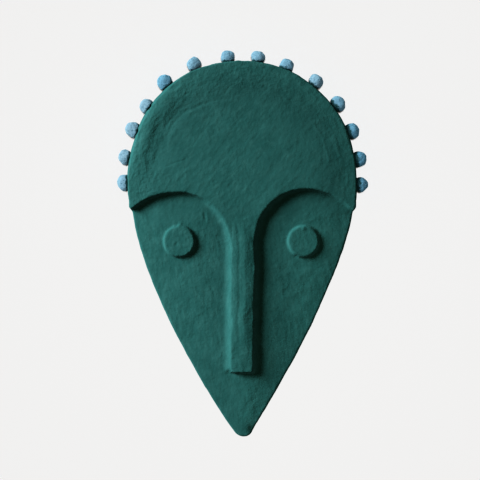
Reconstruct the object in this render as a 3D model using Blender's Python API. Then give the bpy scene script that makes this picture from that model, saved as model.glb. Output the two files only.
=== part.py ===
"""A hollow papier-mache mask with pulp balls glued round its upper rim, lying on its back, face up.

Everything is in metres. +X is the viewer's right, +Y runs up the mask to the top of the head, and +Z
points out of the face. The shapes are drawn around the centre of the domed forehead, and at the end
all of it is shifted so that the origin lies under the middle of the outline, on the surface that the
back rim rests on.

The front is one height above each point of the outline: a shallow crown, with the forehead, brow and
nose standing on it as one raised T, and a round disc for each eye. The back is open, with an even
wall and a ceiling that follows the front.
"""

import math

import bmesh
import bpy
import numpy as np
from mathutils import Vector
from mathutils.geometry import delaunay_2d_cdt, interpolate_bezier, intersect_line_line_2d

# Outline, seen from the front
DOME_RADIUS = 0.1153
HEAD_HEIGHT = 0.3758
BROW_DROP = 0.033  # the brow's outer ends, below the centre of the dome
BROW_STEP = 0.0015  # the forehead stands this far out of the cheeks' outline
BROW_STEP_RUN = 0.0065  # and falls back to them over this length
CHEEK_BEARING = math.radians(-12.2)  # where the cheeks leave the dome, counted anticlockwise from +X
CHIN_RADIUS = 0.0105
CHIN_HALF_ANGLE = math.radians(32.9)
CHEEK_PULL = 0.12  # how far the side's curve holds on to its two ends, as shares of its length
JAW_PULL = 0.56

# The hand-made head isn't quite even: its chin and cheeks lean, and its dome has soft bulges
CHIN_LEAN = 0.0004
CHEEK_LEAN = -0.0017
DOME_BULGES = (
    # bearing, half width (both in degrees, counted anticlockwise from +X) and height
    (12, 34, -0.0020),
    (50, 26, -0.0008),
    (127, 34, 0.0020),
    (163, 15, -0.0009),
    (196, 18, 0.0012),
)

# Depths
WALL_HEIGHT = 0.030  # from the back rim to the edge of the cheeks
CROWN = 0.009
CROWN_DROP = 0.25  # its highest point below the centre of the dome, as a share of the way to the chin
RELIEF = 0.008  # forehead, brow and nose over the cheeks
SHELL = 0.005
FOREHEAD_ROUNDING = 0.0025
CHEEK_ROUNDING = 0.002
CEILING_LIFT_RUN = 0.012  # the ceiling rises under the forehead over this length

# Brow and nose
BROW_FLANK = 0.003
BROW_LEFT_DROP = 0.0156  # the arches' highest points, below the centre of the dome
BROW_RIGHT_DROP = 0.0126
FLANK_HOLLOW = 1.4  # 1 is a straight slope
NOSE_WIDTH = 0.0218
NOSE_FLANK = 0.0085
NOSE_END_DROP = 0.1955  # below the centre of the dome
NOSE_END_FLANK = 0.0025
NOSE_LEAN = -0.0011  # of its lower end

# The brow's arches, as shares of the dome's radius: their outer ends, highest points and feet at the nose,
# and the handles of their curves
ARCH_END = 0.959
ARCH_PAST_END = 1.25
ARCH_CREST = 0.547
ARCH_FALL = 0.49
ARCH_END_HANDLE = (0.121, 0.08)
ARCH_CREST_OUTER_HANDLE = 0.21
ARCH_CREST_INNER_HANDLE = 0.245
ARCH_NOSE_HANDLE = 0.26

# Eyes
EYE_DIAMETER = 0.0318
EYE_RELIEF = 0.0045
EYE_FLANK = 0.0021
EYE_SPACING = 0.1242
EYE_DROP = 0.0649  # below the centre of the dome
EYE_SHIFT = -0.0016  # the pair sits a little to the left

# Balls, each set by hand, so that the steps between them are their own
BALL_DIAMETER = 0.0137
BALL_BEARINGS = (-3.9, 8.6, 22.8, 37.4, 52.5, 68.4, 82.7, 97.3, 113.6, 129.5, 143.7, 156.7, 170.7, 182.9)
BALL_DROP = 0.008  # of their centres, below the top of the upright wall
BALL_FLAT = 0.003  # cut off each ball where it is glued to the wall
GLUE_GAP = 0.0003

# Fineness of the faceted model
OUTLINE_STEP = 0.006
SHORTEST_STEP = 0.001  # where a line of the relief meets the outline
NORMAL_SMOOTHING = 5  # rounds of evening out, for the loops inside the outline
SIDE_POINTS = 40
CHIN_POINTS = 4  # on each half
ARCH_POINTS = 14
NOSE_POINTS = 12
EYE_POINTS = 26
FLANK_LINES = (0.0, 0.45, 1.0)
ROUNDING_RINGS = 3
FRONT_GRID = 0.0098
CEILING_GRID = 0.016
BALL_SEGMENTS = 14
BALL_RINGS = 9

# Places that follow from the sizes above
CHIN_Y = DOME_RADIUS - HEAD_HEIGHT
CHEEK_RADIUS = DOME_RADIUS - BROW_STEP
CROWN_CENTRE = np.array((0.0, CROWN_DROP * CHIN_Y))
BALL_HEIGHT = WALL_HEIGHT + RELIEF - FOREHEAD_ROUNDING - BALL_DROP
BALL_STAND_OUT = BALL_DIAMETER / 2 - BALL_FLAT + GLUE_GAP


def smooth_step(share):
    """0 below 0, 1 above 1, and an S between them."""
    share = np.clip(share, 0.0, 1.0)
    return share * share * (3 - 2 * share)


def on_circle(radius, bearing, centre=(0, 0)):
    """The point of a circle at a bearing in radians, anticlockwise from +X."""
    return Vector(centre) + radius * Vector((math.cos(bearing), math.sin(bearing)))


def bezier(start, start_handle, end_handle, end, count):
    """Points of one Bezier span. The last point is left out, so that another span can follow."""
    return interpolate_bezier(start, start_handle, end_handle, end, count + 1)[:-1]


def half_outline():
    """The right half of the outline at the cheeks' level, from the dome's top to the middle of the chin.

    The dome's first point is half a step from its top, so that a flat facet of the wall faces straight up.
    """
    dome_turn = math.pi / 2 - CHEEK_BEARING
    dome_points = round(CHEEK_RADIUS * dome_turn / OUTLINE_STEP)
    step = dome_turn / (dome_points - 0.5)
    dome = [on_circle(CHEEK_RADIUS, CHEEK_BEARING + i * step) for i in reversed(range(dome_points))]

    chin_centre = (0, CHIN_Y + CHIN_RADIUS)
    chin_bearings = np.linspace(-CHIN_HALF_ANGLE, -math.pi / 2, CHIN_POINTS + 1)
    chin = [on_circle(CHIN_RADIUS, bearing, chin_centre) for bearing in chin_bearings]

    side_length = (dome[-1] - chin[0]).length
    cheek_handle = dome[-1] - Vector((0, CHEEK_PULL * side_length))
    jaw_direction = Vector((math.sin(CHIN_HALF_ANGLE), math.cos(CHIN_HALF_ANGLE)))
    jaw_handle = chin[0] + JAW_PULL * side_length * jaw_direction
    return dome[:-1] + bezier(dome[-1], cheek_handle, jaw_handle, chin[0], SIDE_POINTS) + chin


def outward_normals(loop):
    """Unit normals of a closed clockwise loop."""
    along = np.roll(loop, -1, axis=0) - np.roll(loop, 1, axis=0)
    normals = np.stack([-along[:, 1], along[:, 0]], axis=1)
    return normals / np.linalg.norm(normals, axis=1)[:, None]


def even_normals(loop):
    """Outward normals that turn evenly past the loop's tight corners, so that an inner loop can follow it."""
    normals = outward_normals(loop)
    for _ in range(NORMAL_SMOOTHING):
        normals = np.roll(normals, 1, axis=0) + 2 * normals + np.roll(normals, -1, axis=0)
        normals /= np.linalg.norm(normals, axis=1)[:, None]
    return normals


def head_outline():
    """The whole outline as one closed clockwise loop that starts at the top of the dome."""
    right = half_outline()
    left = [Vector((-p.x, p.y)) for p in right[-2::-1]]
    loop = np.array([tuple(p) for p in right + left])

    on_forehead = smooth_step((loop[:, 1] + BROW_DROP) / BROW_STEP_RUN + 0.5)
    bearing = np.degrees(np.arctan2(loop[:, 1], loop[:, 0]))
    stand_out = np.full(len(loop), BROW_STEP)
    for middle, half_width, height in DOME_BULGES:
        away = np.abs((bearing - middle + 180) % 360 - 180) / half_width
        stand_out += height * smooth_step(1 - away)
    loop += outward_normals(loop) * (stand_out * on_forehead)[:, None]

    down_face = np.clip((-BROW_DROP - loop[:, 1]) / (-BROW_DROP - CHIN_Y), 0, 1)
    loop[:, 0] += CHIN_LEAN * down_face**2 + CHEEK_LEAN * np.sin(math.pi * down_face)
    return loop


def nose_top(drop):
    """Where a brow arch of this drop ends and the straight side of the nose begins, along +Y."""
    return -drop - ARCH_FALL * DOME_RADIUS


def brow_arch(side, drop, spread):
    """One brow arch, from its outer end to the side of the nose. side is -1 on the left, 1 on the right."""
    across = Vector((side * DOME_RADIUS, 0))
    up = Vector((0, DOME_RADIUS))
    end = ARCH_END * across - Vector((0, BROW_DROP))
    crest = ARCH_CREST * across - Vector((0, drop))
    foot = Vector((side * NOSE_WIDTH / 2, nose_top(drop)))
    end_handle = end - ARCH_END_HANDLE[0] * across + ARCH_END_HANDLE[1] * up
    arch = bezier(end, end_handle, crest + ARCH_CREST_OUTER_HANDLE * across, crest, ARCH_POINTS)
    inner_handle = crest - ARCH_CREST_INNER_HANDLE * across
    arch += bezier(crest, inner_handle, foot + ARCH_NOSE_HANDLE * up, foot, ARCH_POINTS)
    arch = np.array([tuple(p) for p in arch])

    past_end = ARCH_PAST_END * across - Vector((0, BROW_DROP + spread * BROW_FLANK))
    along = np.gradient(arch, axis=0)
    downward = side * np.stack([-along[:, 1], along[:, 0]], axis=1)
    downward /= np.linalg.norm(downward, axis=1)[:, None]
    widening = smooth_step(np.linspace(-1, 1, len(arch)))
    flank = BROW_FLANK + (NOSE_FLANK - BROW_FLANK) * widening
    arch += downward * (spread * flank)[:, None]
    return np.concatenate([[tuple(past_end)], arch])


def relief_line(spread):
    """The edge of the raised T, from past the left side, round the nose's end, to past the right side.

    A spread of 0 is its top edge and a spread of 1 is the foot of its flanks.
    """
    half_nose = NOSE_WIDTH / 2 + spread * NOSE_FLANK
    nose_end = -NOSE_END_DROP - spread * NOSE_END_FLANK
    lines = []
    for side, drop in ((-1, BROW_LEFT_DROP), (1, BROW_RIGHT_DROP)):
        arch = brow_arch(side, drop, spread)
        down_nose = np.linspace(0, 1, NOSE_POINTS)
        nose_x = side * half_nose + NOSE_LEAN * down_nose
        nose_y = np.linspace(nose_top(drop), nose_end, NOSE_POINTS)
        lines.append(np.concatenate([arch, np.stack([nose_x, nose_y], axis=1)]))
    return np.concatenate([lines[0], lines[1][::-1]])


def eye_centres():
    """The left eye's centre and the right one's."""
    return [np.array((EYE_SHIFT + side * EYE_SPACING / 2, -EYE_DROP)) for side in (-1, 1)]


def distance_to(points, line):
    """The distance of each point from a line of straight stretches."""
    start, run = line[:-1], np.diff(line, axis=0)
    offset = points[:, None] - start[None]
    share = np.clip((offset * run).sum(2) / (run**2).sum(1), 0, 1)
    return np.linalg.norm(offset - share[..., None] * run, axis=2).min(1)


def inside(points, loop):
    """Which points lie inside a closed loop: a ray from them crosses it an odd number of times."""
    x, y = points[:, :1], points[:, 1:]
    start, end = loop, np.roll(loop, -1, axis=0)
    spans = (start[:, 1] > y) != (end[:, 1] > y)
    rise = np.where(end[:, 1] == start[:, 1], 1.0, end[:, 1] - start[:, 1])
    crossing = start[:, 0] + (y - start[:, 1]) * (end[:, 0] - start[:, 0]) / rise
    return (spans & (x < crossing)).sum(1) % 2 == 1


def closed(loop):
    """The loop with its first point repeated at its end."""
    return np.concatenate([loop, loop[:1]])


def over_forehead(line):
    """The edge of the T closed into a loop, well above the head."""
    above = 2 * DOME_RADIUS
    return np.concatenate([line, [(line[-1, 0], above), (line[0, 0], above)]])


def crossing(start, end, loop):
    """Where the stretch from start to end crosses a closed loop: how many steps along it, and the point."""
    for i, (corner, following) in enumerate(zip(loop, np.roll(loop, -1, axis=0))):
        found = intersect_line_line_2d(start, end, corner, following)
        if found is not None:
            point = np.array(found)
            return i + np.linalg.norm(point - corner) / np.linalg.norm(following - corner), point


def meet_outline(loop, lines):
    """Cuts lines that cross a closed loop on their way in and out, and gives the loop a vertex at each cut.

    The loop's own vertices that lie too close to a cut make way for it. Returns the loop and the lines.
    """
    cuts, cut_lines = [], []
    for line in lines:
        within = np.flatnonzero(inside(line, loop))
        first, last = within[0], within[-1]
        way_in = crossing(line[first - 1], line[first], loop)
        way_out = crossing(line[last], line[last + 1], loop)
        cuts += [way_in, way_out]
        cut_lines.append(np.concatenate([[way_in[1]], line[first : last + 1], [way_out[1]]]))
    kept = [
        (i, corner)
        for i, corner in enumerate(loop)
        if min(np.linalg.norm(corner - point) for _, point in cuts) > SHORTEST_STEP
    ]
    return np.array([point for _, point in sorted(kept + cuts, key=lambda cut: cut[0])]), cut_lines


class Face:
    """Heights of the front and of the ceiling behind it, over any point of the outline."""

    def __init__(self):
        self.top_edge = relief_line(0)
        self.foot = relief_line(1)
        self.outline, self.relief_lines = meet_outline(head_outline(), map(relief_line, FLANK_LINES))
        reach = self.outline - CROWN_CENTRE
        bearing = np.arctan2(reach[:, 1], reach[:, 0])
        order = np.argsort(bearing)
        self.bearings = bearing[order]
        self.reaches = np.linalg.norm(reach, axis=1)[order]

    def crown(self, points):
        """The shallow dome of the whole front, over the height of its edge."""
        reach = points - CROWN_CENTRE
        bearing = np.arctan2(reach[:, 1], reach[:, 0])
        edge = np.interp(bearing, self.bearings, self.reaches, period=2 * math.pi)
        share = np.minimum(np.linalg.norm(reach, axis=1) / edge, 1)
        return CROWN * (1 - share**2)

    def relief_share(self, points):
        """1 on the raised T, 0 on the cheeks, and a hollow curve between them on its flanks."""
        to_top = distance_to(points, self.top_edge)
        to_foot = distance_to(points, self.foot)
        down_flank = to_top / (to_top + to_foot)
        down_flank[inside(points, over_forehead(self.top_edge))] = 0
        down_flank[~inside(points, over_forehead(self.foot))] = 1
        return (1 - down_flank) ** FLANK_HOLLOW

    def eyes(self, points):
        """The eye discs, with sloping sides."""
        height = np.zeros(len(points))
        for centre in eye_centres():
            from_rim = EYE_DIAMETER / 2 - np.linalg.norm(points - centre, axis=1)
            height = np.maximum(height, EYE_RELIEF * np.clip(from_rim / EYE_FLANK, 0, 1))
        return height

    def front(self, points):
        """The height of the front over the back rim."""
        relief = self.relief_share(points)
        rounding = CHEEK_ROUNDING + (FOREHEAD_ROUNDING - CHEEK_ROUNDING) * relief
        to_edge = np.minimum(distance_to(points, closed(self.outline)), rounding)
        drop = rounding - np.sqrt(rounding**2 - (rounding - to_edge) ** 2)
        return WALL_HEIGHT + self.crown(points) + np.maximum(RELIEF * relief, self.eyes(points)) - drop

    def ceiling(self, points):
        """The height of the hollow's ceiling. It rises under the forehead, and the nose is solid."""
        in_brow = distance_to(points, self.top_edge) - NOSE_WIDTH / 2
        in_brow[~inside(points, over_forehead(self.top_edge))] = 0
        lift = RELIEF * smooth_step(in_brow / CEILING_LIFT_RUN)
        return WALL_HEIGHT + self.crown(points) - SHELL + lift


def grid_points(loop, lines, step):
    """Points of an even triangular grid inside a loop, none of them close to the loop or the lines."""
    low, high = loop.min(0), loop.max(0)
    rows = np.arange(low[1], high[1], step * math.sqrt(3) / 2)
    columns = np.arange(low[0], high[0], step)
    x, y = np.meshgrid(columns, rows)
    x[1::2] += step / 2
    points = np.stack([x.ravel(), y.ravel()], axis=1)
    points = points[inside(points, loop)]
    for line in (closed(loop), *lines):
        points = points[distance_to(points, line) > step / 2]
    return points


def fill(bm, edge_verts, lines, points, height, face_up):
    """Fills a clockwise loop of vertices with triangles that keep to the lines, each vertex at its height.

    The lines may touch the loop at its vertices, and don't cross it.
    """
    edge = [vert.co.xy for vert in edge_verts]
    coords = list(edge)
    kept = []
    for line in lines:
        first = len(coords)
        coords += [Vector(p) for p in line]
        kept += [(i, i + 1) for i in range(first, len(coords) - 1)]
    coords += [Vector(p) for p in points]
    anticlockwise = list(range(len(edge)))[::-1]
    made, _, triangles, sources, _, from_loop = delaunay_2d_cdt(coords, kept, [anticlockwise], 0, 1e-6)

    heights = height(np.array([tuple(p) for p in made]))
    verts = []
    for place, z, origin in zip(made, heights, sources):
        on_edge = [i for i in origin if i < len(edge)]
        verts.append(edge_verts[on_edge[0]] if on_edge else bm.verts.new((*place, z)))
    for triangle, loops in zip(triangles, from_loop):
        if loops:
            corners = [verts[i] for i in triangle]
            bm.faces.new(corners if face_up else corners[::-1])
    for vert in [v for v in verts if not v.link_faces]:
        bm.verts.remove(vert)


def boundary(bm):
    """The edges that have a face on one side only."""
    return [edge for edge in bm.edges if edge.is_boundary]


def clockwise(edges):
    """The vertices of a closed chain of edges, in clockwise order seen from the front."""
    start = edges[0].verts[0]
    chain, previous = [start], None
    while len(chain) < len(edges):
        previous = next(e for e in chain[-1].link_edges if e.is_boundary and e is not previous)
        chain.append(previous.other_vert(chain[-1]))
    turning = sum(a.co.x * b.co.y - b.co.x * a.co.y for a, b in zip(chain, chain[1:] + chain[:1]))
    return chain[::-1] if turning > 0 else chain


def extrude_boundary(bm):
    """Extrudes the open edge in place and returns its new vertices, in clockwise order."""
    bmesh.ops.extrude_edge_only(bm, edges=boundary(bm))
    return clockwise(boundary(bm))


def mask_body(material):
    """The hollow head: front, wall, back rim and hollow, as one closed mesh."""
    face = Face()
    bm = bmesh.new()
    heights = face.front(face.outline)
    edge_verts = [bm.verts.new((*point, z)) for point, z in zip(face.outline, heights)]

    normals = even_normals(face.outline)
    rounding = WALL_HEIGHT + RELIEF * face.relief_share(face.outline) - heights
    lines = list(face.relief_lines)
    for ring in range(1, ROUNDING_RINGS + 1):
        let_in = 1 - math.cos(math.pi / 2 * ring / ROUNDING_RINGS)
        lines.append(closed(face.outline - normals * (rounding * let_in)[:, None]))
    around = np.linspace(0, 2 * math.pi, EYE_POINTS + 1)
    for centre in eye_centres():
        for radius in (EYE_DIAMETER / 2 - EYE_FLANK, EYE_DIAMETER / 2):
            lines.append(np.array([tuple(on_circle(radius, bearing, centre)) for bearing in around]))
    fill(bm, edge_verts, lines, grid_points(face.outline, lines, FRONT_GRID), face.front, True)

    for vert in extrude_boundary(bm):
        vert.co.z = 0
    inner_rim = extrude_boundary(bm)
    outer = np.array([tuple(vert.co.xy) for vert in inner_rim])
    for vert, place in zip(inner_rim, outer - even_normals(outer) * SHELL):
        vert.co.xy = place
    ceiling_edge = extrude_boundary(bm)
    inner = np.array([tuple(vert.co.xy) for vert in ceiling_edge])
    for vert, z in zip(ceiling_edge, face.ceiling(inner)):
        vert.co.z = z
    fill(bm, ceiling_edge, [], grid_points(inner, [], CEILING_GRID), face.ceiling, False)

    bmesh.ops.recalc_face_normals(bm, faces=bm.faces)
    return finished(bm, "mask_body", material)


def finished(bm, name, material):
    """Turns the working mesh into a smooth shaded object."""
    mesh = bpy.data.meshes.new(name)
    bm.to_mesh(mesh)
    bm.free()
    mesh.materials.append(material)
    mesh.shade_smooth()
    mesh.set_sharp_from_angle(angle=math.radians(30))
    made = bpy.data.objects.new(name, mesh)
    bpy.context.scene.collection.objects.link(made)
    return made


def wall_at(outline, bearing):
    """Where the outline lies at a bearing from the dome's centre, and its outward direction there."""
    bearings = np.arctan2(outline[:, 1], outline[:, 0])
    order = np.argsort(bearings)
    normals = outward_normals(outline)
    values = np.concatenate([outline, normals], axis=1)[order]
    x, y, normal_x, normal_y = (
        np.interp(bearing, bearings[order], column, period=2 * math.pi) for column in values.T
    )
    return Vector((x, y)), Vector((normal_x, normal_y)).normalized()


def ball(name, bearing, outline, material):
    """A pulp ball, cut flat where it is glued to the wall. Its own +Z points away from the wall."""
    bm = bmesh.new()
    bmesh.ops.create_uvsphere(
        bm, u_segments=BALL_SEGMENTS, v_segments=BALL_RINGS, radius=BALL_DIAMETER / 2
    )
    glued = Vector((0, 0, GLUE_GAP - BALL_STAND_OUT))
    everything = bm.verts[:] + bm.edges[:] + bm.faces[:]
    bmesh.ops.bisect_plane(bm, geom=everything, plane_co=glued, plane_no=(0, 0, -1), clear_outer=True)
    bmesh.ops.holes_fill(bm, edges=boundary(bm))
    made = finished(bm, name, material)
    wall, outward = wall_at(outline, bearing)
    made.location = (*(wall + outward * BALL_STAND_OUT), BALL_HEIGHT)
    made.rotation_mode = "QUATERNION"
    made.rotation_quaternion = outward.to_3d().to_track_quat("Z", "Y")
    return made


def paint(name, colour, roughness):
    """A matt paint of one colour."""
    material = bpy.data.materials.new(name)
    material.use_nodes = True
    shader = material.node_tree.nodes["Principled BSDF"]
    shader.inputs["Base Color"].default_value = (*colour, 1)
    shader.inputs["Roughness"].default_value = roughness
    shader.inputs["Metallic"].default_value = 0
    return material


def centre_on_origin(objects):
    """Shifts everything sideways so that the middle of the outline, balls included, is over the origin."""
    bpy.context.view_layer.update()
    corners = [made.matrix_world @ vert.co for made in objects for vert in made.data.vertices]
    for axis in (0, 1):
        places = [corner[axis] for corner in corners]
        middle = (min(places) + max(places)) / 2
        for made in objects:
            made.location[axis] -= middle


def main():
    for old in list(bpy.data.objects):
        bpy.data.objects.remove(old)
    green = paint("green_paint", (0.017, 0.083, 0.074), 0.85)
    blue = paint("blue_paint", (0.24, 0.47, 0.62), 0.8)
    objects = [mask_body(green)]
    outline = head_outline()
    for number, bearing in enumerate(BALL_BEARINGS, 1):
        objects.append(ball(f"ball_{number:02d}", math.radians(bearing), outline, blue))
    centre_on_origin(objects)


main()
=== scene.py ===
"""The look of a hollow papier-mache mask that lies on its back: paper skin, pulp balls and paint.

Everything is in metres, and +Z points out of the face. The shapes are drawn around the centre of the
domed forehead, with +Y up the face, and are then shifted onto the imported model. The painted skin is one
closed mesh, finer than the solid it stands for: the same outline, brow, nose, eyes and hollow, with soft
creases, the hand-made unevenness of the photographed face, and the grain of paper and brush strokes.
"""

import math

import bmesh
import bpy
import numpy as np
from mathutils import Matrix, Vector, noise
from mathutils.geometry import delaunay_2d_cdt, interpolate_bezier
from mathutils.kdtree import KDTree


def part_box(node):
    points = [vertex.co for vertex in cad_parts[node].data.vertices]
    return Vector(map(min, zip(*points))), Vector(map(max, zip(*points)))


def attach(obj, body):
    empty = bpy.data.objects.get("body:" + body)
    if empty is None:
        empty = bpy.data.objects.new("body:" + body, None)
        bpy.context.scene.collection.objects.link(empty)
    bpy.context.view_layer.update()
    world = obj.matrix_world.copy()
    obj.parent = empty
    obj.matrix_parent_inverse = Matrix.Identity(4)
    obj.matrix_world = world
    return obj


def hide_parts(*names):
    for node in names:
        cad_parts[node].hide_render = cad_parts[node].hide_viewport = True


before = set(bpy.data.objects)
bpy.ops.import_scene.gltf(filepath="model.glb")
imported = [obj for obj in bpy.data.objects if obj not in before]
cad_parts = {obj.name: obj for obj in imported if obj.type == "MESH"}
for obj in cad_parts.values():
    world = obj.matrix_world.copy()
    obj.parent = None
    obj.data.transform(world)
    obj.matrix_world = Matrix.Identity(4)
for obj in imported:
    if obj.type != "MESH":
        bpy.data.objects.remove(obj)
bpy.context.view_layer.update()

# The outline, seen from the front
DOME_RADIUS = 0.1153
HEAD_HEIGHT = 0.3758
BROW_DROP = 0.033
BROW_STEP = 0.0015
BROW_STEP_RUN = 0.0065
CHEEK_BEARING = math.radians(-12.2)
CHIN_RADIUS = 0.0105
CHIN_HALF_ANGLE = math.radians(32.9)
CHEEK_PULL = 0.12
JAW_PULL = 0.56
CHIN_LEAN = 0.0004
CHEEK_LEAN = -0.0017

# Where the dome stands in or out: the middle and the half width in degrees, and the height
DOME_BULGES = (
    (-14, 12, 0.0009), (12, 34, -0.0020), (50, 26, -0.0008),
    (127, 34, 0.0020), (163, 15, -0.0009), (196, 18, 0.0012),
)

# How far to the right the jaw strays, by where it lies along +Y
JAW_SWAY = (
    (-0.2605, 0.0003), (-0.2450, -0.0005), (-0.2280, -0.0006), (-0.2050, -0.0002),
    (-0.1720, 0.0002), (-0.1500, 0.0004), (-0.1150, 0.0),
)

# Depths
WALL_HEIGHT = 0.0291
CROWN = 0.009
CROWN_DROP = 0.25
RELIEF = 0.008
SHELL = 0.005
FOREHEAD_ROUNDING = 0.0013
CHEEK_ROUNDING = 0.0011
RIM_ROUNDING = 0.0016
CEILING_LIFT_RUN = 0.012
CEILING_CORNER = 0.004

# Brow and nose
BROW_FLANK = 0.003
BROW_LEFT_DROP = 0.0156
BROW_LEFT_END_LIFT = 0.0012
BROW_RIGHT_DROP = 0.0126
FLANK_HOLLOW = 2.3
NOSE_WIDTH = 0.0218
NOSE_FLANK = 0.0085
NOSE_END_DROP = 0.1955
NOSE_END_FLANK = 0.0025
NOSE_LEAN = -0.0011

# How far the right side of the nose swells out, by where it lies along +Y
NOSE_RIGHT_SWELL = (
    (-0.0800, 0.0012), (-0.0920, 0.0015), (-0.1090, 0.0012), (-0.1260, 0.0005), (-0.1700, 0.0004),
)

# How the brow arches run, as shares of the dome's radius, with pairs for the left and the right one
ARCH_END = 0.959
ARCH_PAST_END = 1.25
ARCH_CREST = 0.547
ARCH_FALL = 0.49
ARCH_END_HANDLE_IN = 0.121
ARCH_END_HANDLE_UP = 0.08
ARCH_CREST_OUTER_HANDLE = 0.21
ARCH_CREST_INNER_HANDLES = (0.245, 0.215)
ARCH_NOSE_HANDLES = (0.26, 0.335)

# Eyes, with a pair of heights for the left and the right one
EYE_DIAMETER = 0.0332
EYE_RELIEFS = (0.0052, 0.0041)
EYE_FLANK = 0.0019
EYE_SPACING = 0.1238
EYE_DROP = 0.0649
EYE_SHIFT = -0.0014

# Places that follow from the sizes above
CHIN_Y = DOME_RADIUS - HEAD_HEIGHT
CHEEK_RADIUS = DOME_RADIUS - BROW_STEP
CROWN_CENTRE = np.array((0.0, CROWN_DROP * CHIN_Y))

# Fineness of the skin
DOME_POINTS = 300
CHIN_POINTS = 40
CURVE_POINTS = 200
SKIN_STEP = 0.0011
SAME_PLACE = 1e-6
LINE_STEP = 0.0009
FLANK_LINES = (0.0, 0.2, 0.4, 0.6, 0.8, 1.0)
EYE_RINGS = (0.0, 0.5, 1.0)
WALL_STEP = 0.0021
CEILING_STEP = 0.0042
NORMAL_ROUNDS = 60
SOFTENING_ROUNDS = 1
FLOOR_CLEARANCE = 0.00005
POINTS_AT_ONCE = 3000

# Distances between the skin's lines and points, as shares of a step
CLEAR_OF_LINES = 0.55
CLEAR_OF_EDGE = 0.5
FIRST_RING = 0.8
FIRST_RING_ROUNDS = 8

# How far noise moves on with each seed
SEED_SHIFT = np.array((17.31, 5.77, 9.13))

# Unevenness of the hand-made edges: the waves' length and their height
OUTLINE_WOBBLE = (0.016, 0.00022)
EDGE_WOBBLE = (0.009, 0.00035)


def smooth_step(share):
    """0 below 0, 1 above 1, and an S between them."""
    share = np.clip(share, 0.0, 1.0)
    return share * share * (3 - 2 * share)


def mixed(first, second, share):
    """Evenly from the first value, at a share of 0, to the second, at a share of 1."""
    return first + (second - first) * share


def rounded_drop(distance, radius):
    """How far a rounded edge falls below the plain surface, by the distance from its foot."""
    let_in = radius - np.clip(distance, 0, radius)
    return radius - np.sqrt(radius**2 - let_in**2)


def bell(distance, width):
    """1 at no distance, falling off evenly to next to nothing at twice the width."""
    return np.exp(-((distance / width) ** 2))


def profile(places, knots):
    """The value at each place of a profile that is given by places and their values."""
    return np.interp(places, *np.transpose(knots))


def on_circle(radius, bearing, centre=(0, 0)):
    """The point of a circle at a bearing in radians, anticlockwise from +X."""
    return Vector(centre) + radius * Vector((math.cos(bearing), math.sin(bearing)))


def bezier(start, start_handle, end_handle, end):
    """Points of one Bezier span, without its last one."""
    return interpolate_bezier(start, start_handle, end_handle, end, CURVE_POINTS + 1)[:-1]


def even_steps(line, step):
    """The same line with points at even steps along it."""
    line = np.asarray(line)
    along = np.concatenate([[0], np.cumsum(np.linalg.norm(np.diff(line, axis=0), axis=1))])
    places = np.linspace(0, along[-1], round(along[-1] / step) + 1)
    return np.stack([np.interp(places, along, line[:, axis]) for axis in (0, 1)], axis=1)


def turned(line):
    """Unit vectors to the left of a line's direction, at each of its points."""
    along = np.gradient(line, axis=0)
    left = np.stack([-along[:, 1], along[:, 0]], axis=1)
    return left / np.linalg.norm(left, axis=1)[:, None]


def field(points, length, seed, octaves=1):
    """Soft seeded noise of about -1 to 1 at each point, with waves of about the given length."""
    points = np.asarray(points) / length
    if points.shape[1] == 2:
        points = np.concatenate([points, np.zeros((len(points), 1))], axis=1)
    points = points + SEED_SHIFT * seed
    total = np.zeros(len(points))
    for octave in range(octaves):
        scale = 2.0**octave
        total += np.array([noise.noise(p) for p in (points * scale).tolist()]) / scale
    return total


def waves(points, size, seed, octaves=1):
    """Soft seeded noise of a size: the pair of its waves' length and their height."""
    length, height = size
    return height * field(points, length, seed, octaves)


def turn_from(bearing, points):
    """How many degrees round the dome's centre each point lies from a bearing."""
    own = np.degrees(np.arctan2(points[:, 1], points[:, 0]))
    return np.abs((own - bearing + 180) % 360 - 180)


def half_outline():
    """The right half of the outline at the cheeks' level, from the dome's top to the middle of the chin."""
    dome = [on_circle(CHEEK_RADIUS, b) for b in np.linspace(math.pi / 2, CHEEK_BEARING, DOME_POINTS)]
    chin_centre = (0, CHIN_Y + CHIN_RADIUS)
    chin_bearings = np.linspace(-CHIN_HALF_ANGLE, -math.pi / 2, CHIN_POINTS)
    chin = [on_circle(CHIN_RADIUS, b, chin_centre) for b in chin_bearings]
    side_length = (dome[-1] - chin[0]).length
    cheek_handle = dome[-1] - Vector((0, CHEEK_PULL * side_length))
    jaw_direction = Vector((math.sin(CHIN_HALF_ANGLE), math.cos(CHIN_HALF_ANGLE)))
    jaw_handle = chin[0] + JAW_PULL * side_length * jaw_direction
    side = bezier(dome[-1], cheek_handle, jaw_handle, chin[0])
    return np.array([tuple(p) for p in dome[:-1] + side + chin])


def head_outline():
    """The whole outline as one closed clockwise loop that starts at the top of the dome."""
    right = half_outline()
    left = right[-2:0:-1] * (-1, 1)
    loop = even_steps(np.concatenate([right, left, right[:1]]), SKIN_STEP)[:-1]

    on_forehead = smooth_step((loop[:, 1] + BROW_DROP) / BROW_STEP_RUN + 0.5)
    stand_out = np.full(len(loop), BROW_STEP)
    for middle, half_width, height in DOME_BULGES:
        stand_out += height * smooth_step(1 - turn_from(middle, loop) / half_width)
    wobble = waves(loop, OUTLINE_WOBBLE, 1, 2)
    loop += outward_normals(loop) * (stand_out * on_forehead + wobble)[:, None]

    down_face = np.clip((-BROW_DROP - loop[:, 1]) / (-BROW_DROP - CHIN_Y), 0, 1)
    loop[:, 0] += CHIN_LEAN * down_face**2 + CHEEK_LEAN * np.sin(math.pi * down_face)
    loop[:, 0] += profile(loop[:, 1], JAW_SWAY)
    return loop


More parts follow.
